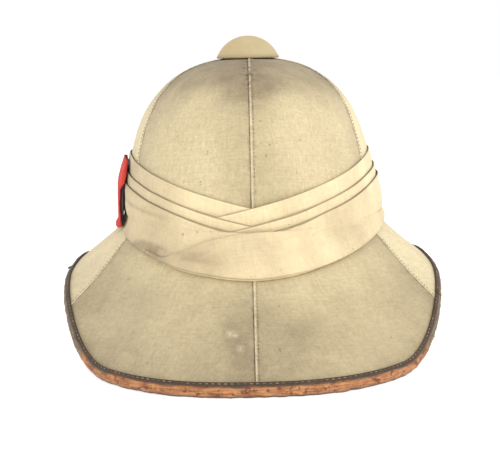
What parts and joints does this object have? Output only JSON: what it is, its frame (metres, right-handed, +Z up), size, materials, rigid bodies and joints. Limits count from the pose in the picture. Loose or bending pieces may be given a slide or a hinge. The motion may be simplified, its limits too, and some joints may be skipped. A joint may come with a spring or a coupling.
{
  "type": "pith helmet",
  "caption": "Cloth covered cork sun helmet with a deep neck guard, wound cloth band, leather bound brim, domed ventilator and a red cloth flash on its left side.",
  "frame": {"origin": "middle of the bounding box at its bottom, on the surface that the helmet stands on", "axes": "+Z up, +Y toward the helmet's front, +X toward the wearer's right; the rear neck guard reaches out along -Y"},
  "size_m": [0.2862, 0.3944, 0.225],
  "materials": {
    "cork": "bare moulded cork, matte",
    "drill": "khaki cotton drill, pasted down, soiled toward the top",
    "band_cotton": "light khaki cotton, folded and wound",
    "leather": "thin brown leather, worn to orange along the rear edge, stitched",
    "cap": "cloth covered dome, smooth",
    "black_cloth": "black wool cloth",
    "red_cloth": "red wool cloth"
  },
  "bodies": {
    "root": {"cork_body": "cork", "cover_rear_left": "drill", "cover_rear_right": "drill", "cover_side_left": "drill", "cover_side_right": "drill", "cover_front_left": "drill", "cover_front_right": "drill", "band_top_left": "band_cotton", "band_top_right": "band_cotton", "band_middle_left": "band_cotton", "band_middle_right": "band_cotton", "band_lower_left": "band_cotton", "band_lower_right": "band_cotton", "edge_binding": "leather", "vent_cap": "cap", "flash_backing": "black_cloth", "flash_patch": "red_cloth"}
  },
  "joints": []
}
